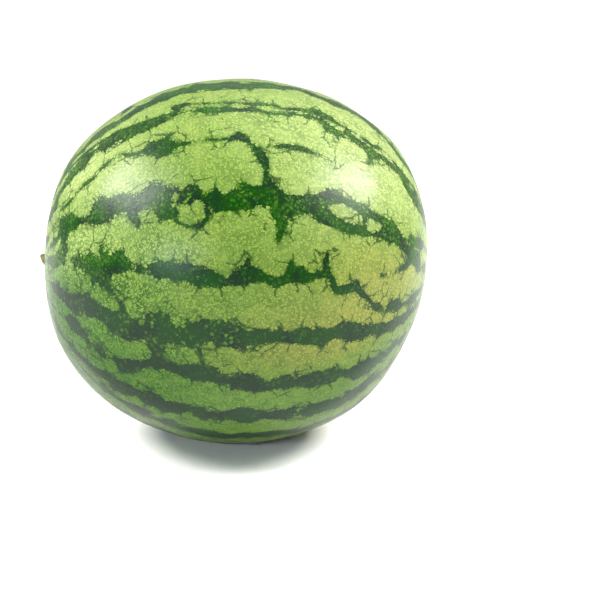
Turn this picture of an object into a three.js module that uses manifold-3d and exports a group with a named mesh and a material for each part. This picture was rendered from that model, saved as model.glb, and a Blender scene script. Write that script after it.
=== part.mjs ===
import * as THREE from 'three';
import { mergeVertices } from 'three/addons/utils/BufferGeometryUtils.js';
import Module from 'manifold-3d';

// A whole watermelon lying on its side, in millimetres.
// +X runs along the fruit, from the stem end to the blossom end, and +Z is up.
// The origin is on the surface that it rests on, under the middle of its box.

const wasm = await Module();
wasm.setup();

// Driving dimensions
const fruitLength = 249; // pole to pole, before the two ends are dimpled
const fruitDiameter = 237;
const profileFullness = 0.84; // 1 gives an ellipsoid, less makes the ends blunter
const footDepth = 1.8; // how much of the belly is pressed flat where it lies

const stemDimple = { depth: 4.5, floorRadius: 9.5, rimRadius: 36 };
const blossomDimple = { depth: 1.5, floorRadius: 3, rimRadius: 16 };

const blossomTaper = 0.03; // share of the length that the underside of the blossom end gives up
const taperTop = -0.3; // where that starts and is complete, in radii below the middle
const taperBottom = 0.7;
const blossomRise = 3; // the blossom end grows a little above the middle

const stemLength = 8;
const stemBaseRadius = 8;
const stemTipRadius = 2.4;
const stemTaper = 0.75; // 1 gives a plain cone, less keeps the stub full and rounds its tip
const stemFlutes = 5;
const stemFluteDepth = 0.07; // share of the radius
const stemDrop = 1.2; // the stub's foot sits a little below the middle of its dimple
const stemTipRise = 2.6; // the tip bends up by this much
const stemGap = 0.3; // clearance between the stub and the floor of its dimple

// Steps of the meshes
const ringsAlong = 44;
const ringCrowding = 0.11; // draws the rings towards the two ends, where the dimples are
const stepsAround = 64;
const stemRings = 6;
const stemStepsPerFlute = 6;
const weldTolerance = 1e-4;
const cutBlockFactor = 1.5; // the block that cuts the foot is this much larger than the fruit

const fruitRadius = fruitDiameter / 2;
const halfLength = fruitLength / 2;

// A dimple is flat within its floor radius and fades out smoothly at its rim.
function dimpleDepth(radius, { depth, floorRadius, rimRadius }) {
  return depth * (1 - THREE.MathUtils.smoothstep(radius, floorRadius, rimRadius));
}

// The outline from the stem end to the blossom end, as (radius, distance along the fruit).
function fruitOutline() {
  const outline = [];
  for (let ring = 0; ring <= ringsAlong; ring++) {
    const share = ring / ringsAlong;
    const turn = Math.PI * (share - ringCrowding * Math.sin(2 * Math.PI * share));
    const onAxis = ring === 0 || ring === ringsAlong;
    const radius = onAxis ? 0 : fruitRadius * Math.sin(turn) ** profileFullness;
    const stemDip = turn < Math.PI / 2 ? dimpleDepth(radius, stemDimple) : 0;
    const blossomDip = turn > Math.PI / 2 ? dimpleDepth(radius, blossomDimple) : 0;
    outline.push(new THREE.Vector2(radius, -halfLength * Math.cos(turn) + stemDip - blossomDip));
  }
  return outline;
}

// Turns a lathe's own axis, +Y, to +X.
function layAlongX(geometry) {
  return geometry.rotateZ(-Math.PI / 2);
}

// Moves every vertex of a geometry by a function that changes the vertex in place.
function reshape(geometry, change) {
  const position = geometry.attributes.position;
  const vertex = new THREE.Vector3();
  for (let i = 0; i < position.count; i++) {
    vertex.fromBufferAttribute(position, i);
    change(vertex);
    position.setXYZ(i, vertex.x, vertex.y, vertex.z);
  }
  return geometry;
}

// The blossom end rises a little, and its underside is drawn in.
function shapeBlossomEnd(vertex) {
  const towardsBlossom = Math.max(vertex.x / halfLength, 0) ** 2;
  const below = THREE.MathUtils.smoothstep(-vertex.z / fruitRadius, taperTop, taperBottom);
  vertex.x -= fruitLength * blossomTaper * towardsBlossom * below;
  vertex.z += blossomRise * towardsBlossom;
}

// Welds a geometry's vertices and makes a solid of it, which can be cut.
function toSolid(geometry) {
  const bare = geometry.clone();
  bare.deleteAttribute('normal');
  bare.deleteAttribute('uv');
  const welded = mergeVertices(bare, weldTolerance);
  const triangles = [];
  for (let i = 0; i < welded.index.count; i += 3) {
    const corners = [0, 1, 2].map((corner) => welded.index.getX(i + corner));
    if (new Set(corners).size === 3) triangles.push(...corners);
  }
  return new wasm.Manifold(
    new wasm.Mesh({
      numProp: 3,
      vertProperties: Float32Array.from(welded.attributes.position.array),
      triVerts: Uint32Array.from(triangles),
    }),
  );
}

// Makes a geometry of a solid again.
function toGeometry(solid) {
  const { vertProperties, triVerts } = solid.getMesh();
  const geometry = new THREE.BufferGeometry();
  geometry.setAttribute('position', new THREE.BufferAttribute(vertProperties, 3));
  geometry.setIndex(new THREE.BufferAttribute(triVerts, 1));
  geometry.computeVertexNormals();
  return geometry;
}

// The fruit is one solid: its rind's outer surface, closed, with the belly cut flat where it lies.
function makeFruit() {
  const body = layAlongX(new THREE.LatheGeometry(fruitOutline(), stepsAround));
  reshape(body, shapeBlossomEnd);

  const blockSize = fruitLength * cutBlockFactor;
  const block = new THREE.BoxGeometry(blockSize, blockSize, blockSize);
  block.translate(0, 0, -fruitRadius + footDepth - blockSize / 2);

  const rind = new THREE.MeshStandardMaterial({ color: 0x5d8f33, roughness: 0.35, metalness: 0 });
  const fruit = new THREE.Mesh(toGeometry(toSolid(body).subtract(toSolid(block))), rind);
  fruit.name = 'fruit';
  return fruit;
}

// The dried stub of the stalk: a short fluted stick, wide where it met the fruit, its tip bent up a little.
function makeStem() {
  const outline = [new THREE.Vector2(0, 0)];
  for (let ring = 0; ring <= stemRings; ring++) {
    const along = ring / stemRings;
    const radius = stemTipRadius + (stemBaseRadius - stemTipRadius) * (1 - along) ** stemTaper;
    outline.push(new THREE.Vector2(radius, -stemLength * along));
  }
  outline.push(new THREE.Vector2(0, -stemLength));

  const stick = layAlongX(new THREE.LatheGeometry(outline.reverse(), stemFlutes * stemStepsPerFlute));
  reshape(stick, (vertex) => {
    const around = Math.atan2(vertex.y, vertex.z);
    const flute = 1 + stemFluteDepth * Math.cos(stemFlutes * around);
    vertex.y *= flute;
    vertex.z = vertex.z * flute + stemTipRise * (vertex.x / stemLength) ** 2;
  });

  const driedStalk = new THREE.MeshStandardMaterial({ color: 0x6b5a38, roughness: 0.9, metalness: 0 });
  const stem = new THREE.Mesh(stick, driedStalk);
  stem.name = 'stem';
  stem.position.set(-halfLength + stemDimple.depth - stemGap, 0, -stemDrop);
  return stem;
}

const watermelon = new THREE.Group();
watermelon.name = 'watermelon';
watermelon.add(makeFruit(), makeStem());

// Stands the fruit on the surface, with the middle of its box over the origin.
const box = new THREE.Box3().setFromObject(watermelon);
const middle = box.getCenter(new THREE.Vector3());
watermelon.position.set(-middle.x, -middle.y, -box.min.z);

export default watermelon;
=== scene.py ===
import math
import bpy
import numpy as np
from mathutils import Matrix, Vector


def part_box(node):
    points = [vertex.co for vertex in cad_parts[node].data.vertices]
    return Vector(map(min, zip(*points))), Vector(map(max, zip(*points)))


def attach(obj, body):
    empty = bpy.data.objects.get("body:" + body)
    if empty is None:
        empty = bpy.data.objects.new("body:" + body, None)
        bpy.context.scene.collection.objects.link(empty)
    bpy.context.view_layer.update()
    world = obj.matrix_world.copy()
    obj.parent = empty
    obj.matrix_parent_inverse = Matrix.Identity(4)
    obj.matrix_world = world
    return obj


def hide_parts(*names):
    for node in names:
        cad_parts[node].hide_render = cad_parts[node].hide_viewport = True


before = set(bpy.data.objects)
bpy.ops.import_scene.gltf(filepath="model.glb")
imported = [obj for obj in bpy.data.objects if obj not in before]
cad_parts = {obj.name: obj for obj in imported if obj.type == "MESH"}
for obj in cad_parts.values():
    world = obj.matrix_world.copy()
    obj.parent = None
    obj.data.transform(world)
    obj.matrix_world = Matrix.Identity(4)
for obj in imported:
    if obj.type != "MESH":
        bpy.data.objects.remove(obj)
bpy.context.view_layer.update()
fruitLow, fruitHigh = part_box("fruit")
stemLow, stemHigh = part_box("stem")
print("frame loaded:", ", ".join(sorted(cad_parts)))


# small helpers for building materials

def tint(red, green, blue):
    # a colour given as it is seen, 0 to 255, as the linear colour that a shader takes
    linear = []
    for part in (red, green, blue):
        part = part / 255
        linear.append(part / 12.92 if part <= 0.04045 else ((part + 0.055) / 1.055) ** 2.4)
    return (*linear, 1.0)


def plugIn(tree, socket, value):
    if isinstance(value, bpy.types.NodeSocket):
        tree.links.new(value, socket)
    elif value is not None:
        socket.default_value = value


def calc(tree, operation, first, second=None, third=None):
    node = tree.nodes.new("ShaderNodeMath")
    node.operation = operation
    for socket, value in zip(node.inputs, (first, second, third)):
        plugIn(tree, socket, value)
    return node.outputs[0]


def fade(tree, value, fromLow, fromHigh, toLow=0.0, toHigh=1.0):
    node = tree.nodes.new("ShaderNodeMapRange")
    node.interpolation_type = "SMOOTHSTEP"
    for name, number in (("Value", value), ("From Min", fromLow), ("From Max", fromHigh),
                         ("To Min", toLow), ("To Max", toHigh)):
        plugIn(tree, node.inputs[name], number)
    return node.outputs["Result"]


def mixColours(tree, amount, under, over):
    # a mix node's inputs 6 and 7 and its output 2 are the ones for colours
    node = tree.nodes.new("ShaderNodeMix")
    node.data_type = "RGBA"
    plugIn(tree, node.inputs[0], amount)
    plugIn(tree, node.inputs[6], under)
    plugIn(tree, node.inputs[7], over)
    return node.outputs[2]


def noise(tree, where, size, detail=2.0, roughness=0.5, output="Fac"):
    node = tree.nodes.new("ShaderNodeTexNoise")
    plugIn(tree, node.inputs["Vector"], where)
    node.inputs["Scale"].default_value = 1 / size
    node.inputs["Detail"].default_value = detail
    node.inputs["Roughness"].default_value = roughness
    return node.outputs[output]


def noiseFade(tree, where, rule, detail=1.0, roughness=0.5, toLow=0.0, toHigh=1.0):
    # a rule is the noise's size in millimetres and the two values that it is faded between
    size, fromLow, fromHigh = rule
    return fade(tree, noise(tree, where, size, detail, roughness), fromLow, fromHigh, toLow, toHigh)


def cells(tree, where, size, feature="F1"):
    node = tree.nodes.new("ShaderNodeTexVoronoi")
    node.feature = feature
    plugIn(tree, node.inputs["Vector"], where)
    node.inputs["Scale"].default_value = 1 / size
    return node.outputs["Distance"]


def shaken(tree, where, size, amount):
    # the same place pushed about by a noise of that size, both in millimetres
    push = tree.nodes.new("ShaderNodeVectorMath")
    push.operation = "MULTIPLY_ADD"
    push.inputs[1].default_value = (2 * amount, 2 * amount, 2 * amount)
    push.inputs[2].default_value = (-amount, -amount, -amount)
    plugIn(tree, push.inputs[0], noise(tree, where, size, 1.0, output="Color"))
    total = tree.nodes.new("ShaderNodeVectorMath")
    total.operation = "ADD"
    plugIn(tree, total.inputs[0], where)
    plugIn(tree, total.inputs[1], push.outputs[0])
    return total.outputs[0]


def millimetres(tree):
    place = tree.nodes.new("ShaderNodeTexCoord")
    scaled = tree.nodes.new("ShaderNodeVectorMath")
    scaled.operation = "SCALE"
    plugIn(tree, scaled.inputs[0], place.outputs["Object"])
    scaled.inputs["Scale"].default_value = 1000
    return scaled.outputs[0]


def painted(tree, name):
    node = tree.nodes.new("ShaderNodeAttribute")
    node.attribute_name = name
    return node.outputs["Fac"]


def newMaterial(name):
    material = bpy.data.materials.new(name)
    material.use_nodes = True
    tree = material.node_tree
    return material, tree, tree.nodes["Principled BSDF"]


def addBump(tree, shader, height, depth):
    # depth is in metres for a height of one
    bump = tree.nodes.new("ShaderNodeBump")
    bump.inputs["Strength"].default_value = 1.0
    bump.inputs["Distance"].default_value = depth
    plugIn(tree, bump.inputs["Height"], height)
    tree.links.new(bump.outputs["Normal"], shader.inputs["Normal"])


def meshObject(name, points, faces, material):
    mesh = bpy.data.meshes.new(name)
    mesh.from_pydata(points.tolist(), [], faces)
    mesh.update()
    mesh.shade_smooth()
    mesh.materials.append(material)
    piece = bpy.data.objects.new(name, mesh)
    bpy.context.scene.collection.objects.link(piece)
    return piece


# the fruit's shape, in metres

melon = {
    "length": 0.249,          # pole to pole before the dimples
    "fullness": 0.84,         # 1 is an ellipsoid, less is blunter at the ends
    "squaresPerFace": 128,    # the skin is a cube of squares blown up to the fruit's shape
    "stemDimple": (0.0045, 0.0095, 0.036),    # depth, radius of the floor, radius of the rim
    "blossomDimple": (0.0015, 0.003, 0.016),
    "blossomTaper": 0.03,     # share of the length that the low blossom end gives up
    "taperRange": (-0.3, 0.7),  # where that starts and is complete, in radii below the middle
    "blossomRise": 0.003,
    "footShoulder": 0.0008,   # how softly the belly turns into its flat spot
    "unevenness": 0.00035,
    # slow waves that make it uneven: radians to the metre along x, y and z, and where each starts
    "lumpWaves": (((71, 23, 40), 0.4), ((-34, 83, 31), 2.1), ((27, -52, 88), 4.4),
                  ((110, 64, -73), 1.2), ((-92, 104, 60), 5.0)),
    "furrows": 7,             # shallow creases that run into the stalk
    "furrowDepth": 0.0006,
    "furrowSway": 0.8,        # radians
    "furrowStart": (0.004, 0.009),    # distances from the axis over which they deepen
    "furrowEnd": (0.014, 0.040),      # and over which they fade
}
fruitRadius = (fruitHigh.y - fruitLow.y) / 2
halfLength = melon["length"] / 2
axisHeight = fruitHigh.z - fruitRadius


def smoothStep(value, low, high):
    share = np.clip((value - low) / (high - low), 0, 1)
    return share * share * (3 - 2 * share)


def onFruit(along, around):
    # along runs 0 to 180 from the stem end, around is 0 at the front and 90 on top, in degrees
    along, around = np.radians(along), np.radians(around)
    radius = fruitRadius * np.abs(np.sin(along)) ** melon["fullness"]
    x = -halfLength * np.cos(along)
    for depth, floor, rim, end in ((*melon["stemDimple"], -1), (*melon["blossomDimple"], 1)):
        dip = depth * (1 - smoothStep(radius, floor, rim))
        x = x - end * np.where(x * end > 0, dip, 0)
    y = -radius * np.cos(around)
    z = radius * np.sin(around)
    towardsBlossom = np.clip(x / halfLength, 0, None) ** 2
    below = smoothStep(-z / fruitRadius, *melon["taperRange"])
    x = x - melon["length"] * melon["blossomTaper"] * towardsBlossom * below
    z = z + melon["blossomRise"] * towardsBlossom
    return np.stack([x, y, z], axis=-1)


def blownCube(squares):
    # the corners of every square on six faces, as directions, with each square's corner numbers
    steps = np.tan(np.linspace(-1, 1, squares + 1) * math.pi / 4)
    across, up = np.meshgrid(steps, steps)
    flat = np.ones_like(across)
    sides = [(flat, across, up), (-flat, -across, up), (-across, flat, up),
             (across, -flat, up), (across, up, flat), (across, -up, -flat)]
    directions = np.concatenate([np.stack(side, axis=-1).reshape(-1, 3) for side in sides])
    directions /= np.linalg.norm(directions, axis=1)[:, None]
    corner = np.arange((squares + 1) ** 2).reshape(squares + 1, squares + 1)
    face = np.stack([corner[:-1, :-1], corner[:-1, 1:], corner[1:, 1:], corner[1:, :-1]], axis=-1)
    quads = np.concatenate([face.reshape(-1, 4) + side * corner.size for side in range(6)])
    return directions, quads


def weld(points, quads):
    # joins the corners that faces share along the cube's edges
    rounded = np.round(points, 6)    # to a micrometre
    unique, first, place = np.unique(rounded, axis=0, return_index=True, return_inverse=True)
    return first, place.reshape(-1)[quads]


# The stripes, painted as strokes along the fruit. Each point is (degrees along from the stem end,
# degrees around from the front towards the top, half the stroke's width in millimetres).
stripes = {
    "crown": [(26, 66, 3), (31, 69.5, 3), (36, 71.5, 3.5), (42, 73.5, 4), (48, 75, 4), (54, 76, 4),
              (60, 77.5, 4), (66, 79.5, 5), (72, 81.5, 5), (80, 83.5, 6), (88, 84, 7), (94, 84, 6),
              (100, 86, 5), (108, 87, 4), (120, 86, 4), (130, 86, 3.5), (140, 83, 3), (150, 80, 3)],
    "crownDrip": [(94, 84, 3), (94.5, 80, 2), (94.5, 77, 1)],
    "upper": [(25, 48, 2.5), (28, 51.5, 2.5), (31, 54, 2.5), (34, 56.5, 3.5), (37, 58.5, 4), (40, 60, 4.5),
              (44, 61, 3.5), (48, 62, 3.5), (52, 62.8, 4), (56, 63.3, 4), (60, 63.8, 4), (64, 64.2, 4.5),
              (68, 64.5, 4), (72, 65.6, 2.5), (78, 65.2, 1.8), (83, 64.8, 1.8), (88, 65, 2.2),
              (92, 65.3, 1.8), (96, 65.8, 1.8), (101, 64.8, 1.8), (106, 65.5, 1.8), (111, 66, 2.2),
              (116, 65.5, 2.5), (120, 63.5, 3.5), (125, 64.5, 2.5), (129, 62.5, 2.5), (133, 60.5, 3.5),
              (138, 61.5, 2), (144, 60.5, 2), (150, 58, 4), (155, 56, 4), (160, 54, 4)],
    "upperTwin": [(70, 66, 2), (74, 69.5, 2), (78, 69.8, 2), (82, 69, 1.3), (86, 68.5, 1.2), (90, 68.7, 1.6),
                  (95, 68.5, 1.6), (100, 69, 1.8), (105, 68.4, 1.2), (110, 69, 1.6), (114, 70.5, 2),
                  (118, 69, 2), (122, 67.5, 1.4), (128, 66.8, 1.1), (134, 65.5, 1.4), (138, 68, 1.2),
                  (143, 65.5, 1), (150, 63, 1.5)],
    "upperDripA": [(120, 63, 2.5), (121, 60, 1.2), (120, 57, 0.8)],
    "upperDripB": [(133, 60, 2.5), (132.5, 57, 1.2), (131.5, 53, 0.7)],
    "threadLeft": [(32, 41, 0.8), (36, 41, 0.9), (40, 43.5, 1), (43, 45.5, 1.3), (46, 46.5, 1.5),
                   (49, 47.2, 1.3), (51, 49.5, 0.9), (55, 52, 0.8), (58, 52.6, 0.8)],
    "threadRight": [(59, 52, 0.8), (62, 50.6, 1), (65, 50.8, 1.6)],
    "blot": [(65, 50.8, 1.6), (68, 51, 3.6), (71, 51.2, 4.8), (73.5, 51.3, 3.4), (76.5, 51.2, 1.4),
             (80, 51.5, 0.9), (84, 51.8, 0.9), (87, 51.8, 1.1), (90, 52, 1.8), (93, 52.3, 3),
             (95.5, 51.3, 2.6), (97, 49, 2), (98.7, 46, 2), (99.8, 43, 1.6), (100, 40, 1.4),
             (100.3, 37, 2.2), (101, 34, 3.5)],
    "blotHorn": [(72, 52, 2), (72.6, 55.5, 0.8)],
    "hairline": [(103, 50.3, 0.8), (107, 51, 1.1), (111, 50.5, 0.9), (116, 49.5, 0.8), (119, 48, 0.7)],
    "knotRim": [(25, 31.5, 1), (28, 34, 1.4), (30.5, 36, 2), (32.5, 35, 2.2), (34, 32, 2.6), (36, 29.5, 3)],
    "knotFoot": [(22, 22.5, 1.5), (26, 24.5, 1.8), (29, 26, 2), (32, 28, 2.5), (35, 29.5, 3)],
    "knotDown": [(36, 14.5, 3.5), (36.2, 18, 2.6), (36, 22, 2.6), (35.6, 26, 3.6), (36, 29.5, 3)],
    "main": [(36, 30, 3), (39, 30, 2.2), (42, 30.2, 2.2), (46, 30.5, 2.6), (50, 31.5, 4), (54, 32.2, 4),
             (58, 32.5, 4), (62, 32.6, 4.2), (66, 33, 4.5), (70, 33, 5.5), (74, 33.6, 6), (78, 33.8, 5.5),
             (82, 33.2, 5), (86, 32.5, 5), (90, 32.3, 5.2), (94, 32.6, 5), (98, 33, 5), (101, 32.3, 5.6),
             (105, 31, 5), (110, 30.6, 3.8), (114, 32.5, 3), (117, 35, 3.2), (120, 34.6, 2.3),
             (124, 33.5, 2.1), (128, 33, 1.9), (131, 31.2, 1.6), (134, 30.2, 1.6), (137, 29.4, 1.6),
             (139.5, 27, 2.6), (143, 24.3, 3)],
    "mainLower": [(70, 31, 3), (74, 28.8, 3), (76, 28, 1.6)],
    "mainDrip": [(62, 30, 2), (63.8, 27.3, 1.3), (65, 25, 0.8)],
    "mainUnder": [(108, 30, 3.6), (113, 29, 3.2), (118, 27.8, 2.7), (122, 26, 2.3), (126, 24.8, 2.1),
                  (130, 24, 2), (134, 24, 2.1), (138, 24.6, 2.5), (142, 24, 2.9), (145, 22.3, 2.6),
                  (147.5, 20, 2.4), (149.5, 17.8, 2.6), (151.5, 15.6, 3.2), (154, 13.8, 3.4),
                  (157, 11.5, 3.4), (160, 8, 2.8), (166, 4, 2.2)],
    "mainRung": [(130, 33, 1.4), (130.3, 29, 1.2), (130, 25, 1.4)],
    "inlet": [(102, 31, 4), (103.5, 27, 2.8), (104, 24, 2.2), (104, 22, 1.6), (103.5, 19.5, 0.9)],
    "pebbleRim": [(76, 28, 1.8), (76.6, 25.6, 0.9), (79, 24.2, 0.8), (82.5, 24.4, 0.8), (84.5, 26.4, 1),
                  (84.3, 29, 1.5)],
    "middle": [(22, 14, 1.4), (26, 13.6, 1.8), (30, 13.2, 2.4), (34, 14, 3.6), (38, 13.7, 3.2), (42, 13, 2.8),
               (46, 13, 3), (50, 13, 4.5), (53, 13.4, 5), (57, 13.4, 4.4), (61, 13, 3.8), (65, 12.4, 3.4),
               (69, 12, 3.2), (73, 11.8, 3.6), (76, 11.3, 3.8), (80, 10.2, 3.8), (84, 9.4, 3.6),
               (88, 9, 3.6), (92, 9.6, 3.6), (95, 10.4, 3.6), (98, 9.6, 2.4), (101, 9, 2.2), (104, 8.6, 2.6),
               (107, 9.4, 3.2), (110, 9.5, 3.2), (113, 9.3, 2.2), (116, 10, 1.8), (118.5, 9.2, 1.4),
               (119.8, 7, 1.2), (120.2, 4.8, 1.4), (122, 4, 1.9), (125, 4.3, 1.7), (127, 4.7, 1.9),
               (128.6, 2.9, 1.5), (130, 1.2, 1.4), (132, -0.6, 1.4), (134, -3, 1.8), (136, -5, 2.2),
               (139, -7, 3), (142, -8, 4), (145, -8.8, 3), (149, -10.5, 2), (156, -13, 2)],
    "middleHornA": [(52.3, 16, 2.6), (52.4, 19.6, 1)],
    "middleHornB": [(95, 11, 2.4), (95.5, 14.4, 0.9)],
    "middleHornC": [(107, 10, 2), (107.2, 13.6, 1)],
    "middleHornD": [(118, 10, 1.4), (117.4, 13.4, 1), (117.8, 16, 0.8)],
    "middleHornE": [(142.5, -2.6, 0.8), (142.3, -7, 2)],
    "tailBranch": [(137, 7.8, 0.7), (140, 7.8, 0.8), (143, 8.2, 0.9), (146, 9.4, 1.2), (149, 11, 2),
                   (152, 14, 2.8)],
    "neck": [(50, 10.5, 3.6), (52.6, 8.8, 3.8), (54.2, 6.6, 2.4), (55.6, 4.2, 1.4), (57.6, 2, 1.2),
             (59.2, 0.4, 1.2), (60.2, -1.8, 1.6), (61, -4.5, 3)],
    "neckLeft": [(49.4, 8, 2), (48.6, 5, 1.1), (47.4, 2.4, 1.1), (46.4, 0.6, 2), (45, -1.4, 3)],
    "lower": [(22, -0.6, 1.2), (26, -0.8, 1.8), (30, -1.5, 3), (34, -2.4, 3.6), (38, -3, 3.8), (42, -2.2, 4),
              (46, -1.9, 4.2), (50, -4, 3.2), (54, -5.6, 3.8), (58, -6.4, 4.6), (62, -6.2, 5), (66, -7, 5),
              (70, -5.6, 6.4), (74, -6.4, 6.4), (78, -7, 6), (82, -7.4, 6), (86, -6.2, 5.6), (90, -7.8, 5.6),
              (94, -8.4, 4.6), (98, -8.4, 3.4), (102, -8.5, 2.6), (106, -8.2, 2.6), (111, -9, 3),
              (117, -10, 4), (125, -12, 4), (133, -14, 3.6), (141, -17, 3.4), (150, -20, 3), (160, -24, 2.4)],
    "lowerHornA": [(71, -2.6, 2.4), (71.2, 0.6, 0.9)],
    "lowerHornB": [(43.4, -1, 2), (43.6, 1, 0.9)],
    "lowerHornC": [(104.4, -7, 1.4), (104.4, -4, 0.8)],
    "lowerRung": [(69, -9, 3.2), (69.6, -13, 2.8), (69, -16, 2.8), (67, -18.4, 2.6)],
    "lowerDrip": [(82, -10, 1.8), (82.5, -13.4, 0.9), (83, -17, 0.8)],
    "belly": [(28, -14, 0.8), (31, -14.4, 0.9), (34.5, -14.2, 1.2), (37, -14.6, 2.6), (40, -15.9, 3),
              (43, -17.4, 3), (46, -19.2, 2.8), (49, -20.9, 2.8), (52, -21.5, 2.6), (55, -22, 2.8),
              (58, -22.9, 3), (62, -22.4, 2.3), (65, -20.2, 2.2), (68, -18.4, 3), (72, -18.3, 2.8),
              (78, -19.6, 3.8), (86, -21.5, 4.6), (96, -24, 4.8), (108, -25.5, 3.6), (120, -27.5, 4.2),
              (132, -31, 4), (144, -35, 3.2), (156, -40, 2.6)],
    "bellyHorn": [(37, -12, 1), (37, -14.4, 1.8)],
    "bellyLow": [(22, -20, 1), (25, -23, 1.4), (28, -26, 1.8), (32, -28, 1.8), (37, -29.7, 2.2),
                 (42, -31, 2.2), (47, -32.8, 2.6), (52, -33.8, 3), (58, -34.2, 2.6), (63, -34.6, 3),
                 (68, -34.8, 4), (75, -37, 4), (84, -39, 3.4), (94, -38.4, 4.8), (106, -40.5, 4.4),
                 (118, -44, 3.6), (130, -46, 4), (142, -50, 3.4), (154, -55, 2.6)],
    "bellyStrand": [(49, -40, 2), (52, -38.3, 2.6), (57, -37, 2.6), (63, -36.8, 2.6), (68, -38, 3.2),
                    (75, -38.5, 3)],
    "bellyRung": [(66, -29.5, 0.9), (67, -32, 1.8), (68, -34.5, 2.6)],
    "keelSide": [(36, -39, 1), (41, -40.8, 1.4), (45, -42, 1.8), (49, -42.6, 1.8), (53, -43.6, 1.8),
                 (58, -45.6, 2.8), (62, -46.7, 3.4), (66, -48, 4), (71, -49.2, 4), (78, -51, 3.6),
                 (88, -54, 4.6), (98, -54.5, 3.6), (110, -57, 4.6), (124, -60, 4), (138, -64, 3.2),
                 (152, -70, 2.4)],
    "keel": [(36, -48, 1), (44, -51.5, 1.6), (50, -54.5, 1.8), (55, -57, 2.4), (60, -59.4, 2.8),
             (66, -61.4, 3.6), (74, -64, 4.4), (84, -67, 3.6), (96, -68.5, 4.6), (110, -71, 4.2),
             (126, -75, 3.4), (142, -80, 2.8), (154, -84, 2.2)],
}

# Light patches left open inside or between the stripes, written the same way.
lightPatches = {
    "knotStone": [(25.5, 29, 4), (28.5, 30.5, 4.5)],
    "stemStoneHigh": [(24, 19, 4), (29, 19.4, 5)],
    "stemStoneLow": [(27, 6, 5.4), (33, 6, 7.4), (39, 6.2, 9.6), (43.5, 6.8, 8.6)],
    "smallStone": [(50.6, 2.6, 3.6), (53.5, 0.6, 4)],
    "pebble": [(79.2, 27, 5.4), (81.2, 27, 5.4)],
    "mainSpeckA": [(76, 33.8, 1.6)],
    "mainSpeckB": [(119, 31.2, 1.8), (122, 30.8, 2.1)],
    "mainSpeckC": [(127, 28.8, 2.2)],
    "mainSpeckD": [(133.5, 27.4, 1.8), (136, 26.8, 1.5)],
    "twinGap": [(76, 67.6, 1.6), (79, 67.3, 1.8)],
}

# The side away from the front has stripes of the same kind, drawn by rule from these numbers.
farStripes = {
    "firstAround": -80,
    "lastAround": -260,
    "count": 12,
    "wander": 1.5,             # degrees that a stripe may lie off its even place
    "halfWidth": (2.2, 4.8),   # millimetres
    "thinEnds": 0.35,          # the share of its width that is left at its ends
    "sway": 2.6,               # degrees
    "waves": (1.6, 3.2),       # from end to end
    "jitter": 0.8,             # degrees
    "pointEvery": 4.5,         # degrees along
    "startAlong": (20, 34),
    "endAlong": (148, 162),
    "rungChance": 0.55,        # a rung joins a stripe to the next one
    "rungAlong": (50, 130),
    "rungLean": 3,             # degrees
    "rungWidths": (3, 1.3, 3),
    "seed": 11,
}


def farStrokes():
    rules = farStripes
    luck = np.random.default_rng(rules["seed"])
    turn = 6.28                # radians
    strokes = {}
    places = np.linspace(rules["firstAround"], rules["lastAround"], rules["count"])
    spacing = abs(places[1] - places[0])
    for number, place in enumerate(places):
        start = luck.uniform(*rules["startAlong"])
        end = luck.uniform(*rules["endAlong"])
        middle = place + luck.uniform(-rules["wander"], rules["wander"])
        phase = luck.uniform(0, turn)
        waves = luck.uniform(*rules["waves"])
        stroke = []
        for along in np.arange(start, end, rules["pointEvery"]):
            share = (along - start) / (end - start)
            jitter = luck.uniform(-rules["jitter"], rules["jitter"])
            sway = rules["sway"] * math.sin(phase + turn * waves * share) + jitter
            fullness = rules["thinEnds"] + (1 - rules["thinEnds"]) * math.sin(math.pi * share)
            width = luck.uniform(*rules["halfWidth"]) * fullness
            stroke.append((along, middle + sway, width))
        strokes[f"far{number}"] = stroke
        if luck.random() < rules["rungChance"]:
            along = luck.uniform(*rules["rungAlong"])
            lean = luck.uniform(-rules["rungLean"], rules["rungLean"])
            arounds = (middle, middle - spacing / 2, middle - spacing)
            alongs = (along, along + lean, along + lean)
            strokes[f"farRung{number}"] = list(zip(alongs, arounds, rules["rungWidths"]))
    return strokes


strokeRules = {
    "step": 0.0016,        # metres between the dabs that a stroke is made of
    "poleWidth": 0.9,      # millimetres, where stripes thin out towards the two ends
    "poleReach": 7,        # degrees from the pole
    "longStroke": 60,      # degrees along: only such strokes run on to the poles
    "thinnest": 0.4,       # millimetres
    "pointsAtOnce": 3000,  # how many distances are worked out at a time, to spare memory
}


def runToPoles(points):
    # a full stripe goes on as a thin line to each end of the fruit
    points = list(points)
    if points[-1][0] - points[0][0] < strokeRules["longStroke"]:
        return points
    reach, width = strokeRules["poleReach"], strokeRules["poleWidth"]
    first, last = points[0], points[-1]
    return [(reach, first[1], width), *points, (180 - reach, last[1], width)]


def dabs(strokes, extend):
    # every stroke as round dabs along a smooth line: their centres and radii, in metres
    centres, radii = [], []
    for points in strokes.values():
        knots = np.array(runToPoles(points) if extend else points, float)
        if len(knots) == 1:
            centres.append(onFruit(knots[:, 0], knots[:, 1]))
            radii.append(knots[:, 2])
            continue
        padded = np.vstack([2 * knots[0] - knots[1], knots, 2 * knots[-1] - knots[-2]])
        for a, b, c, d in zip(padded[:-3], padded[1:-2], padded[2:-1], padded[3:]):
            ends = onFruit(np.array([b[0], c[0]]), np.array([b[1], c[1]]))
            count = max(2, int(np.linalg.norm(ends[1] - ends[0]) / strokeRules["step"]) + 1)
            t = np.linspace(0, 1, count)[:, None]
            line = 0.5 * (2 * b + (c - a) * t + (2 * a - 5 * b + 4 * c - d) * t ** 2
                          + (3 * b - a - 3 * c + d) * t ** 3)
            centres.append(onFruit(line[:, 0], line[:, 1]))
            radii.append(np.maximum(line[:, 2], strokeRules["thinnest"]))
    return np.concatenate(centres), np.concatenate(radii) / 1000


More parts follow.
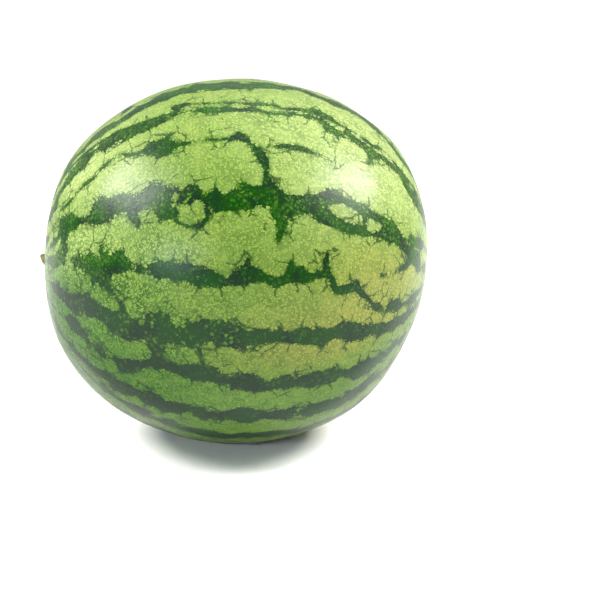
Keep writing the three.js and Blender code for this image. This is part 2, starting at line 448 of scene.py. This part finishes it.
def distanceTo(points, centres, radii):
    # how far each point is outside the nearest dab, less than zero inside it, and that dab's radius
    nearest = np.empty(len(points))
    width = np.empty(len(points))
    centreSquares = (centres ** 2).sum(axis=1)
    atOnce = strokeRules["pointsAtOnce"]
    for start in range(0, len(points), atOnce):
        block = points[start:start + atOnce]
        squares = (block ** 2).sum(axis=1)[:, None] + centreSquares - 2 * block @ centres.T
        outside = np.sqrt(np.maximum(squares, 0)) - radii
        chosen = outside.argmin(axis=1)
        nearest[start:start + atOnce] = outside[np.arange(len(block)), chosen]
        width[start:start + atOnce] = radii[chosen]
    return nearest, width


# Where the rind's look drifts, as soft patches: (degrees along, degrees around, reach along,
# reach around, strength). The other numbers are levels that hold everywhere.
drifts = {
    "flecks": [(95, 67, 30, 4, 1), (84, 33, 16, 4, 1), (80, -6, 16, 5, 1)],
    "freckles": [(45, -12, 45, 35, 0.6), (46, 66, 28, 22, -0.2)],
    # paintedLight is painted light: the rind is paler towards its upper right and in three places on its left
    # half, round its highlight
    "paintedLight": [(135, 60, 38, 40, 1), (44, 48, 18, 14, 0.6), (42, 19, 26, 12, 0.6), (46, 66, 28, 22, 0.5)],
    "shadyLow": [(45, -25, 60, 45, 0.5)],
    "shadyLeft": [(34, -1, 24, 13, 0.9)],
    # tan patches, low on the right of the front and under the back
    "tanPatches": [(140, 5, 26, 16, 1), (118, -12, 26, 9, 1), (110, -100, 40, 30, 1)],
    "fleckLevel": 0.14,
    "freckleLevel": 0.5,
    "freckleBack": 0.2,           # more freckles on the side away from the front
    "shadyLevel": 0.5,
    "shadyRange": (-0.14, 0.5),   # how far down the shade starts and is full, in radii
}
otherHalf = 200    # millimetres, stands for the distance from an end on the other half of the fruit


def softPatches(along, around, name):
    total = np.zeros_like(along)
    for alongCentre, aroundCentre, alongReach, aroundReach, strength in drifts[name]:
        turn = (around - aroundCentre + 180) % 360 - 180
        distance = ((along - alongCentre) / alongReach) ** 2 + (turn / aroundReach) ** 2
        total = total + strength * np.exp(-distance)
    return total


def unevenSkin(along, around):
    # shallow furrows run into the stalk, and the whole skin is a little uneven
    skin = onFruit(along, around)
    reach = np.hypot(skin[:, 1], skin[:, 2])
    nearStem = ((skin[:, 0] < 0) * smoothStep(reach, *melon["furrowStart"])
                * (1 - smoothStep(reach, *melon["furrowEnd"])))
    turned = np.radians(around)
    crease = np.cos(turned * melon["furrows"] + melon["furrowSway"] * np.sin(turned * 2))
    lumps = sum(np.sin(skin @ np.array(wave) + phase) for wave, phase in melon["lumpWaves"])
    rise = melon["unevenness"] * 0.5 * lumps - melon["furrowDepth"] * 0.5 * (1 - crease) * nearStem
    outward = skin / np.linalg.norm(skin, axis=1)[:, None]
    return skin + outward * rise[:, None], reach


def standOnFloor(skin):
    # lifts the fruit onto the floor and presses the belly flat there
    skin[:, 0] += fruitLow.x - skin[:, 0].min()
    skin[:, 2] += axisHeight
    shoulder = melon["footShoulder"]
    skin[:, 2] = shoulder * np.logaddexp(0, skin[:, 2] / shoulder)
    skin[:, 2] -= skin[:, 2].min()


def paintedValues(along, around, reach, field, width):
    # the numbers that the rind's material reads at each corner of the skin
    backShare = np.abs(around) / 180
    flecks = softPatches(along, around, "flecks") + drifts["fleckLevel"]
    freckles = (softPatches(along, around, "freckles") + drifts["freckleLevel"]
                + drifts["freckleBack"] * backShare)
    lowSide = smoothStep(-np.sin(np.radians(around)), *drifts["shadyRange"])
    shady = (lowSide * (drifts["shadyLevel"] + softPatches(along, around, "shadyLow"))
             + softPatches(along, around, "shadyLeft"))
    return {
        "stripeDistance": field * 1000,
        "stripeWidth": width * 1000,
        "flecks": np.clip(flecks, 0, 1),
        "freckles": np.clip(freckles, 0, 1),
        "paintedLight": np.clip(softPatches(along, around, "paintedLight"), 0, 1),
        "shady": np.clip(shady, 0, 1),
        "tanPatches": np.clip(softPatches(along, around, "tanPatches"), 0, 1),
        "fromStem": np.where(along < 90, reach * 1000, otherHalf),
        "fromBlossom": np.where(along > 90, reach * 1000, otherHalf),
    }


def buildFruit(material):
    directions, quads = blownCube(melon["squaresPerFace"])
    along = np.degrees(np.arccos(np.clip(-directions[:, 0], -1, 1)))
    around = np.degrees(np.arctan2(directions[:, 2], -directions[:, 1]))
    skin, reach = unevenSkin(along, around)

    # the stripes are worked out on the round form, before the belly is pressed flat
    field, width = distanceTo(skin, *dabs({**stripes, **farStrokes()}, True))
    patch, _ = distanceTo(skin, *dabs(lightPatches, False))
    field = np.maximum(field, -patch)
    standOnFloor(skin)

    kept, faces = weld(skin, quads)
    fruit = meshObject("melon_rind", skin[kept], faces.tolist(), material)
    for name, numbers in paintedValues(along, around, reach, field, width).items():
        layer = fruit.data.attributes.new(name, "FLOAT", "POINT")
        layer.data.foreach_set("value", numbers[kept].astype(np.float32))
    mapFaces(fruit.data, melon["squaresPerFace"])
    return fruit


def mapFaces(mesh, squares):
    # each of the six faces gets a panel of the map, three across and two up, with a margin inside it
    margin = 0.012
    edge = np.linspace(margin, 1 - margin, squares + 1)
    u, v = np.meshgrid(edge, edge)
    corner = np.arange((squares + 1) ** 2).reshape(squares + 1, squares + 1)
    face = np.stack([corner[:-1, :-1], corner[:-1, 1:], corner[1:, 1:], corner[1:, :-1]], axis=-1)
    face = face.reshape(-1)
    panels = []
    for side in range(6):
        column, row = side % 3, side // 3
        panels.append(np.stack([(u.ravel()[face] + column) / 3, (v.ravel()[face] + row) / 2], axis=-1))
    layer = mesh.uv_layers.new(name="OFBake")
    layer.data.foreach_set("uv", np.concatenate(panels).astype(np.float32).ravel())


# Sizes are in millimetres. A noise is (size, and the two values that it is faded between).
rindLook = {
    "light": tint(100, 127, 46),
    "lightYellow": tint(112, 134, 50),
    "lightPale": tint(163, 179, 110),
    "lightDeep": tint(52, 90, 8),
    "vein": tint(22, 66, 3),
    "tanTint": tint(136, 130, 56),
    "dark": tint(6, 50, 1),
    "darkBlue": tint(2, 30, 10),
    "darkGap": tint(42, 102, 8),
    "darkFleck": tint(88, 122, 24),
    "lacyGap": tint(92, 132, 40),
    "cork": tint(150, 122, 78),

    # the stripes' edges
    "lobeShakes": ((5.5, 1.5), (1.7, 0.5)),    # what bends the lobes: a noise's size and its push
    "veinShakes": ((3.4, 1.3), (1.0, 0.5)),    # and the veins
    "raggedSize": 1.6,
    "raggedReach": 2.2,
    "lobeSize": 13.5,         # the round lobes along a stripe's edge
    "lobeDepth": 10.0,
    "smallLobeSize": 6.5,
    "smallLobeDepth": 2.6,
    "lobeLevel": 0.42,        # lobes push out below this level and in above it
    "thinStripe": (0.6, 4.0, 0.25, 1.0),    # thin stripes fray less: half widths, then shares
    "edgeFade": (0.45, -0.75),
    "veinReach": 1.5,         # how far veins fray the stripe's edge

    # the nets of veins, broken up on the light part
    "veinSize": 2.9,
    "veinLine": (0.19, 0.08),
    "veinGate": (1.8, 0.44, 0.50),
    "fineVeinSize": 1.8,
    "fineVeinLine": (0.26, 0.11),
    "fineVeinGate": (2.4, 0.48, 0.54),

    # the cracks between the lobes
    "crackWidth": (0.03, 0.5),    # far from a stripe, and beside it
    "crackReach": (13.0, 1.5),
    "crackGate": (12, 0.36, 0.56),
    "crackRagged": 1.9,
    "crackFade": (0.22, -0.15),
    "crackFull": 0.6,
    "crackStrength": 0.8,

    # the light part
    "drift": (34, 0.35, 0.65),
    "shadeOnLight": 0.85,
    "tanTintStrength": 0.7,
    "mottleSize": 2.4,
    "mottleDeep": (0.52, 0.38, 0.0, 0.14),
    "mottlePale": (0.50, 0.64, 0.0, 0.20),
    "dots": (1.0, 0.56, 0.63),
    "frecklePatches": (9, 0.34, 0.62),
    "freckleLeast": 0.65,
    "fringeReach": (4.5, 0.3),    # veins stand thick beside a stripe
    "fringeStrength": 0.75,

    # the dark part
    "darkDrift": (22, 0.42, 0.62),
    "shadeOnDark": 0.8,
    "clots": (1.7, 0.38, 0.52),
    "solid": (16, 0.40, 0.62),
    "solidMost": 0.6,
    "shadeSolid": 0.95,
    "rimInside": 1.1,
    "rimFade": (1.3, 0.3, 0.0, 0.7),
    "lineStrength": 0.9,
    "fineLineStrength": 0.6,
    "lace": 1.2,              # how open the stripes' net is where the light is painted
    "fleckSize": 3.4,
    "fleckRagged": 0.7,
    "fleckFade": (0.42, 0.24),
    "fleckGate": (9, 0.44, 0.58),
    "fleckStrength": 0.9,

    # the cork at the two ends: how ragged, where it starts and is full, its strength
    "stemCork": (2.2, 11.0, 9.0, 0.85),
    "blossomCork": (2.4, 4.2, 2.6, 0.9),

    # the surface
    "roughness": 0.32,
    "haze": 0.16,             # how much the roughness drifts
    "hazeSize": 11,
    "freckleRoughness": 0.06,
    "gloss": 0.2,             # specular level
    "poreSize": 0.9,
    "poreHeight": 0.16,
    "mottleHeight": 0.9,
    "stripeHeight": -0.18,
    "bumpDepth": 0.00012,     # metres
}


def shakenTwice(tree, place, shakes):
    for size, amount in shakes:
        place = shaken(tree, place, size, amount)
    return place


def rindNet(tree, place):
    # the distances and the veins that the light and the dark part are both drawn with
    look = rindLook
    torn = shakenTwice(tree, place, look["lobeShakes"])
    frayed = shakenTwice(tree, place, look["veinShakes"])
    ragged = calc(tree, "SUBTRACT", noise(tree, place, look["raggedSize"], 2.0, 0.6), 0.5)
    fraying = fade(tree, painted(tree, "stripeWidth"), *look["thinStripe"])

    # round lobes of two sizes push into the stripes
    bigLobe = calc(tree, "SUBTRACT", cells(tree, torn, look["lobeSize"]), look["lobeLevel"])
    smallLobe = calc(tree, "SUBTRACT", cells(tree, torn, look["smallLobeSize"]), look["lobeLevel"])
    push = calc(tree, "MULTIPLY_ADD", smallLobe, look["smallLobeDepth"],
                calc(tree, "MULTIPLY", bigLobe, look["lobeDepth"]))
    field = calc(tree, "SUBTRACT", painted(tree, "stripeDistance"), calc(tree, "MULTIPLY", push, fraying))

    # broken veins fray the stripe's edge and go on over the light part
    veinLine = fade(tree, cells(tree, frayed, look["veinSize"], "DISTANCE_TO_EDGE"), *look["veinLine"])
    fineCells = cells(tree, frayed, look["fineVeinSize"], "DISTANCE_TO_EDGE")
    fineLine = fade(tree, fineCells, *look["fineVeinLine"])
    vein = calc(tree, "MULTIPLY", veinLine, noiseFade(tree, place, look["veinGate"]))
    fineVein = calc(tree, "MULTIPLY", fineLine, noiseFade(tree, place, look["fineVeinGate"]))
    vein = calc(tree, "MAXIMUM", vein, fineVein)
    fray = calc(tree, "MULTIPLY_ADD", vein, look["veinReach"],
                calc(tree, "MULTIPLY", ragged, -look["raggedReach"]))
    frayedField = calc(tree, "SUBTRACT", field, calc(tree, "MULTIPLY", fray, fraying))
    return {"place": place, "torn": torn, "frayed": frayed, "ragged": ragged, "field": field,
            "frayedField": frayedField, "veinLine": veinLine, "fineLine": fineLine, "vein": vein}


def cracks(tree, net):
    # thin cracks between the lobes, strong beside the stripes and faint beyond
    look = rindLook
    lobeEdge = cells(tree, net["torn"], look["lobeSize"], "DISTANCE_TO_EDGE")
    seam = calc(tree, "MULTIPLY", lobeEdge, look["lobeSize"])
    beside = fade(tree, painted(tree, "stripeDistance"), *look["crackReach"])
    near = calc(tree, "MULTIPLY", beside, noiseFade(tree, net["place"], look["crackGate"]))
    width = fade(tree, near, 0.0, 1.0, *look["crackWidth"])
    raggedSeam = calc(tree, "MULTIPLY_ADD", net["ragged"], look["crackRagged"], seam)
    crack = fade(tree, calc(tree, "SUBTRACT", raggedSeam, width), *look["crackFade"])
    return calc(tree, "MULTIPLY", crack, fade(tree, near, 0.0, look["crackFull"], 0.0, look["crackStrength"]))


def lightRind(tree, net):
    # broad drifts of colour and a faint mottle, then broken veins and dots
    look, place = rindLook, net["place"]
    light = mixColours(tree, noiseFade(tree, place, look["drift"], 2.0), look["light"], look["lightYellow"])
    # painted light: paler towards the upper right and in three places on the left half
    light = mixColours(tree, painted(tree, "paintedLight"), light, look["lightPale"])
    shade = calc(tree, "MULTIPLY", painted(tree, "shady"), look["shadeOnLight"])
    light = mixColours(tree, shade, light, look["lightDeep"])
    # a tan tint, low on the right of the front and under the back
    tanTint = calc(tree, "MULTIPLY", painted(tree, "tanPatches"), look["tanTintStrength"])
    light = mixColours(tree, tanTint, light, look["tanTint"])
    mottle = noise(tree, place, look["mottleSize"], 3.0, 0.65)
    light = mixColours(tree, fade(tree, mottle, *look["mottleDeep"]), light, look["lightDeep"])
    light = mixColours(tree, fade(tree, mottle, *look["mottlePale"]), light, look["lightPale"])
    dots = noiseFade(tree, net["frayed"], look["dots"])
    freckle = calc(tree, "MULTIPLY", calc(tree, "MAXIMUM", net["vein"], dots), painted(tree, "freckles"))
    patches = noiseFade(tree, place, look["frecklePatches"], 2.0, 0.5, look["freckleLeast"], 1.0)
    freckle = calc(tree, "MULTIPLY", freckle, patches)
    nearStripe = fade(tree, net["field"], *look["fringeReach"])
    fringe = calc(tree, "MULTIPLY", nearStripe, net["veinLine"])
    fringe = calc(tree, "MULTIPLY", fringe, look["fringeStrength"])
    light = mixColours(tree, calc(tree, "MAXIMUM", freckle, fringe), light, look["vein"])
    return light, freckle, mottle


def darkRind(tree, net):
    # dark veins and clots over a livelier green, darkest along a stripe's edges, with light flecks
    look, place = rindLook, net["place"]
    paintedLight, shady = painted(tree, "paintedLight"), painted(tree, "shady")
    dark = mixColours(tree, noiseFade(tree, place, look["darkDrift"], 2.0), look["dark"], look["darkBlue"])
    dark = mixColours(tree, calc(tree, "MULTIPLY", shady, look["shadeOnDark"]), dark, look["darkBlue"])
    clot = noiseFade(tree, place, look["clots"], 3.0, 0.7)
    solid = noiseFade(tree, place, look["solid"], 1.0, 0.5, 0.0, look["solidMost"])
    solid = calc(tree, "MAXIMUM", solid, calc(tree, "MULTIPLY", shady, look["shadeSolid"]))
    # painted light also opens the stripes' net and makes its gaps paler
    body = calc(tree, "MULTIPLY_ADD", paintedLight, -look["lace"], calc(tree, "ADD", clot, solid))
    fromRim = calc(tree, "ABSOLUTE", calc(tree, "ADD", net["frayedField"], look["rimInside"]))
    rim = fade(tree, fromRim, *look["rimFade"])
    lines = calc(tree, "MAXIMUM", calc(tree, "MULTIPLY", net["veinLine"], look["lineStrength"]),
                 calc(tree, "MULTIPLY", net["fineLine"], look["fineLineStrength"]))
    veiny = calc(tree, "MAXIMUM", calc(tree, "MAXIMUM", lines, body), rim)
    gap = mixColours(tree, paintedLight, look["darkGap"], look["lacyGap"])
    dark = mixColours(tree, fade(tree, veiny, 0.0, 1.0), gap, dark)
    fleckCells = cells(tree, net["frayed"], look["fleckSize"])
    fleck = calc(tree, "MULTIPLY_ADD", net["ragged"], look["fleckRagged"], fleckCells)
    fleck = fade(tree, fleck, *look["fleckFade"])
    fleck = calc(tree, "MULTIPLY", fleck, noiseFade(tree, place, look["fleckGate"]))
    fleck = calc(tree, "MULTIPLY", fleck, painted(tree, "flecks"))
    return mixColours(tree, calc(tree, "MULTIPLY", fleck, look["fleckStrength"]), dark, look["darkFleck"])


def corked(tree, net, colour, name, raggedness, outer, inner, strength):
    reach = calc(tree, "MULTIPLY_ADD", net["ragged"], raggedness, painted(tree, name))
    amount = calc(tree, "MULTIPLY", fade(tree, reach, outer, inner), strength)
    return mixColours(tree, amount, colour, rindLook["cork"])


def rindMaterial():
    look = rindLook
    material, tree, shader = newMaterial("melon_rind")
    net = rindNet(tree, millimetres(tree))
    stripe = fade(tree, net["frayedField"], *look["edgeFade"])
    light, freckle, mottle = lightRind(tree, net)
    darkShare = calc(tree, "MAXIMUM", stripe, cracks(tree, net))
    colour = mixColours(tree, darkShare, light, darkRind(tree, net))
    # a corky ring round the stalk and a small scar where the flower was
    colour = corked(tree, net, colour, "fromStem", *look["stemCork"])
    colour = corked(tree, net, colour, "fromBlossom", *look["blossomCork"])
    tree.links.new(colour, shader.inputs["Base Color"])

    drift = noise(tree, net["place"], look["hazeSize"], 3.0, 0.6)
    haze = calc(tree, "MULTIPLY_ADD", drift, look["haze"], look["roughness"] - look["haze"] / 2)
    roughness = calc(tree, "MULTIPLY_ADD", freckle, look["freckleRoughness"], haze)
    tree.links.new(roughness, shader.inputs["Roughness"])
    shader.inputs["Specular IOR Level"].default_value = look["gloss"]

    pores = noise(tree, net["place"], look["poreSize"], 2.0, 0.6)
    height = calc(tree, "MULTIPLY", pores, look["poreHeight"])
    height = calc(tree, "MULTIPLY_ADD", mottle, look["mottleHeight"], height)
    height = calc(tree, "MULTIPLY_ADD", stripe, look["stripeHeight"], height)
    addBump(tree, shader, height, look["bumpDepth"])
    return material


fruit = buildFruit(rindMaterial())
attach(fruit, "root")
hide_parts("fruit")
print("rind made:", len(fruit.data.polygons), "squares")


# the dried stub of the stalk

stalk = {
    "ribs": 5,
    "ribDepth": 0.085,      # depths are shares of the radius
    "ribTwist": 0.5,        # radians from end to end
    "fibres": 31,
    "fibreDepth": 0.022,
    "fibreTwist": 1.5,
    "fibreWander": 2.2,
    "knotDepth": 0.02,
    "frayLength": 0.00022,  # metres, the fibres' ends at the cut
    "frayFrom": 0.9,        # how far along the stub they begin to part
    "rings": 44,
    "steps": 155,
    "baseRadius": 0.0079,   # metres, where the stub meets the rind
    "tipRadius": 0.0024,
    "taper": 0.75,          # 1 gives a plain cone, less keeps the stub full and rounds its tip
    "drop": 0.0012,         # its foot sits this much below the middle of the dimple
    "tipRise": 0.0026,
    "cutSlant": 0.4,        # the cut end leans out at its top
    "dishDepth": 0.0007,    # and is dished, in rings that close on its middle
    "dishRings": (0.86, 0.7, 0.52, 0.34, 0.17),
    "dishRipple": 0.0001,
    "sink": 0.0006,         # how far its foot reaches into the dimple's floor
    "brown": tint(104, 88, 50),
    "olive": tint(112, 112, 62),
    "shade": tint(46, 36, 18),
    "cutEnd": tint(150, 132, 88),
    "streakStretch": (0.16, 1.0, 1.0),    # streaks run along the stalk
    "streakSize": 0.55,     # millimetres
    "blotchSize": 2.4,
    "pithSize": 0.6,
    "bumpDepth": 0.0003,
}


def stalkRing(share, around):
    # one ring of points round the stub, share is 0 at the fruit and 1 at the cut end
    length = stemHigh.x - stemLow.x
    baseRadius, tipRadius = stalk["baseRadius"], stalk["tipRadius"]
    out = -stalk["sink"] + (length + stalk["sink"]) * share
    radius = tipRadius + (baseRadius - tipRadius) * (1 - share) ** stalk["taper"]
    ribs = stalk["ribDepth"] * np.cos(stalk["ribs"] * around + stalk["ribTwist"] * share)
    fibreTurn = stalk["fibreWander"] * np.sin(3 * around) + stalk["fibreTwist"] * share
    fibres = stalk["fibreDepth"] * np.sin(stalk["fibres"] * around + fibreTurn)
    knots = stalk["knotDepth"] * np.sin(9 * share + 2 * around) * math.sin(math.pi * share)
    reach = radius * (1 + ribs + fibres + knots)
    parting = max(0.0, share - stalk["frayFrom"]) / (1 - stalk["frayFrom"])
    frayed = stalk["frayLength"] * np.sin(stalk["fibres"] * around * 0.5 + 1) * parting
    x = stemHigh.x - out - frayed - stalk["cutSlant"] * reach * np.sin(around) * share ** 3
    y = reach * np.cos(around)
    z = reach * np.sin(around) + axisHeight - stalk["drop"] + stalk["tipRise"] * share ** 2
    return np.stack([x, y, z], axis=-1)


def stalkPoints():
    around = np.linspace(0, 2 * math.pi, stalk["steps"], endpoint=False)
    rings = stalk["rings"]
    points = [stalkRing(ring / (rings - 1), around) for ring in range(rings)]
    rim = points[-1]
    middle = rim.mean(axis=0)
    for share in stalk["dishRings"]:
        inner = middle + (rim - middle) * share
        inner[:, 0] += stalk["dishDepth"] * (1 - share ** 2)
        inner[:, 0] += stalk["dishRipple"] * np.sin(13 * around + 9 * share)
        points.append(inner)
    foot = points[0].mean(axis=0)
    tip = middle + np.array([stalk["dishDepth"], 0, 0])
    return np.vstack([*points, foot[None], tip[None]])


def stalkFaces(rings, steps):
    # squares between the rings, and triangles that close the foot and the cut end
    footIndex, tipIndex = rings * steps, rings * steps + 1
    faces = []
    for ring in range(rings - 1):
        for step in range(steps):
            after = (step + 1) % steps
            faces.append((ring * steps + step, ring * steps + after,
                          (ring + 1) * steps + after, (ring + 1) * steps + step))
    for step in range(steps):
        after = (step + 1) % steps
        faces.append((footIndex, after, step))
        faces.append((tipIndex, (rings - 1) * steps + step, (rings - 1) * steps + after))
    return faces


def buildStalk(material):
    steps = stalk["steps"]
    points = stalkPoints()
    faces = stalkFaces(stalk["rings"] + len(stalk["dishRings"]), steps)
    piece = meshObject("stalk_stub", points, faces, material)
    endShare = np.zeros(len(points), np.float32)
    endShare[stalk["rings"] * steps:] = 1
    endShare[-2] = 0    # the middle of the foot
    piece.data.attributes.new("cutEnd", "FLOAT", "POINT").data.foreach_set("value", endShare)
    return piece


def stalkMaterial():
    material, tree, shader = newMaterial("dried_stalk")
    place = millimetres(tree)
    stretch = tree.nodes.new("ShaderNodeVectorMath")
    stretch.operation = "MULTIPLY"
    stretch.inputs[1].default_value = stalk["streakStretch"]
    plugIn(tree, stretch.inputs[0], place)
    streak = noise(tree, stretch.outputs[0], stalk["streakSize"], 4.0, 0.6)
    blotch = noiseFade(tree, place, (stalk["blotchSize"], 0.38, 0.62), 3.0, 0.6)
    colour = mixColours(tree, blotch, stalk["brown"], stalk["olive"])
    colour = mixColours(tree, fade(tree, streak, 0.52, 0.36, 0.0, 0.8), colour, stalk["shade"])
    pith = noiseFade(tree, place, (stalk["pithSize"], 0.35, 0.65), 3.0, 0.6)
    cut = mixColours(tree, pith, stalk["shade"], stalk["cutEnd"])
    colour = mixColours(tree, painted(tree, "cutEnd"), colour, cut)
    tree.links.new(colour, shader.inputs["Base Color"])
    tree.links.new(fade(tree, streak, 0.3, 0.7, 0.95, 0.72), shader.inputs["Roughness"])
    addBump(tree, shader, streak, stalk["bumpDepth"])
    return material


stub = buildStalk(stalkMaterial())
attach(stub, "root")
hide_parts("stem")
print("stalk made")


# floor, light and camera

studio = {
    "floorSize": 30.0,
    "floorColour": tint(247, 247, 245),
    "floorGlow": 0.7,         # the far floor glows, like a sweep lit from behind
    "glowRange": (0.8, 3.2),  # metres from the fruit
    "skyBright": 0.62,        # the sky's strength behind and to the right of the fruit
    "skyDim": 0.08,           # and on the camera's side
    "skyLean": 0.5,           # how much brighter its right side is
    "skyRange": (-0.8, 0.6),  # where it starts to brighten and is full
    "lamps": {
        # name: (degrees round from the camera's side, degrees up, metres away, width, height, watts, colour)
        "left": (-79, 42, 1.5, 0.72, 0.52, 38, (1.0, 0.99, 0.96)),
        "right": (88, 42, 1.5, 0.74, 0.58, 45, (1.0, 0.99, 0.96)),
        "frontLow": (-28, 16, 2.2, 0.8, 0.34, 25, (0.82, 0.92, 1.0)),
        "back": (160, 70, 1.6, 1.1, 1.1, 6, (1.0, 1.0, 1.0)),
    },
}


def direction(azimuth, elevation):
    a, e = math.radians(azimuth), math.radians(elevation)
    return Vector((math.sin(a) * math.cos(e), -math.cos(a) * math.cos(e), math.sin(e)))


def lookAt(thing, target):
    thing.rotation_mode = "QUATERNION"
    thing.rotation_quaternion = (target - thing.location).to_track_quat("-Z", "Y")


fruitMiddle = Vector(((fruitLow.x + fruitHigh.x) / 2, 0, axisHeight))

half = studio["floorSize"] / 2
floorCorners = np.array([(-half, -half, 0), (half, -half, 0), (half, half, 0), (-half, half, 0)], float)
floorMaterial, floorTree, floorShader = newMaterial("studio_floor")
floorShader.inputs["Base Color"].default_value = studio["floorColour"]
floorShader.inputs["Roughness"].default_value = 0.9
floorShader.inputs["Emission Color"].default_value = studio["floorColour"]
floorPlace = floorTree.nodes.new("ShaderNodeTexCoord")
floorReach = floorTree.nodes.new("ShaderNodeVectorMath")
floorReach.operation = "LENGTH"
floorTree.links.new(floorPlace.outputs["Object"], floorReach.inputs[0])
glow = fade(floorTree, floorReach.outputs["Value"], *studio["glowRange"], 0.0, studio["floorGlow"])
floorTree.links.new(glow, floorShader.inputs["Emission Strength"])
floor = meshObject("studio_floor", floorCorners, [(0, 1, 2, 3)], floorMaterial)

# a pale sky: bright behind and to the right, dim on the camera's side, white where it is seen
world = bpy.data.worlds.new("studio")
world.use_nodes = True
worldTree = world.node_tree
skyPlace = worldTree.nodes.new("ShaderNodeTexCoord")
skySplit = worldTree.nodes.new("ShaderNodeSeparateXYZ")
worldTree.links.new(skyPlace.outputs["Generated"], skySplit.inputs[0])
skyWay = calc(worldTree, "MULTIPLY_ADD", skySplit.outputs["X"], studio["skyLean"], skySplit.outputs["Y"])
skyLight = fade(worldTree, skyWay, *studio["skyRange"], studio["skyDim"], studio["skyBright"])
seen = worldTree.nodes.new("ShaderNodeLightPath")
skyLight = calc(worldTree, "MAXIMUM", skyLight, seen.outputs["Is Camera Ray"])
worldTree.links.new(skyLight, worldTree.nodes["Background"].inputs["Strength"])
worldTree.nodes["Background"].inputs["Color"].default_value = (1.0, 1.0, 1.0, 1.0)
bpy.context.scene.world = world
bpy.context.scene.view_settings.view_transform = "Standard"

for name, (azimuth, elevation, away, width, height, watts, colour) in studio["lamps"].items():
    lamp = bpy.data.lights.new(name, "AREA")
    lamp.shape = "RECTANGLE"
    lamp.size, lamp.size_y = width, height
    lamp.energy = watts
    lamp.color = colour
    holder = bpy.data.objects.new(name, lamp)
    bpy.context.scene.collection.objects.link(holder)
    holder.location = fruitMiddle + direction(azimuth, elevation) * away
    lookAt(holder, fruitMiddle)

camera = {
    "azimuth": 3,
    "elevation": 14,
    "away": 1.0,
    "sensor": 36,
    "lens": 92.7,
    "aimRight": 0.0374,   # the fruit stands left of and above the picture's middle
    "aimDown": 0.0229,
}
cameraData = bpy.data.cameras.new("camera")
cameraData.sensor_width = camera["sensor"]
cameraData.lens = camera["lens"]
cameraObject = bpy.data.objects.new("camera", cameraData)
bpy.context.scene.collection.objects.link(cameraObject)
back = direction(camera["azimuth"], camera["elevation"])
rightwards = Vector((0, 0, 1)).cross(back).normalized()
upwards = back.cross(rightwards)
cameraObject.location = fruitMiddle + back * camera["away"]
lookAt(cameraObject, fruitMiddle + rightwards * camera["aimRight"] - upwards * camera["aimDown"])
bpy.context.scene.camera = cameraObject
print("floor, lamps and camera placed")
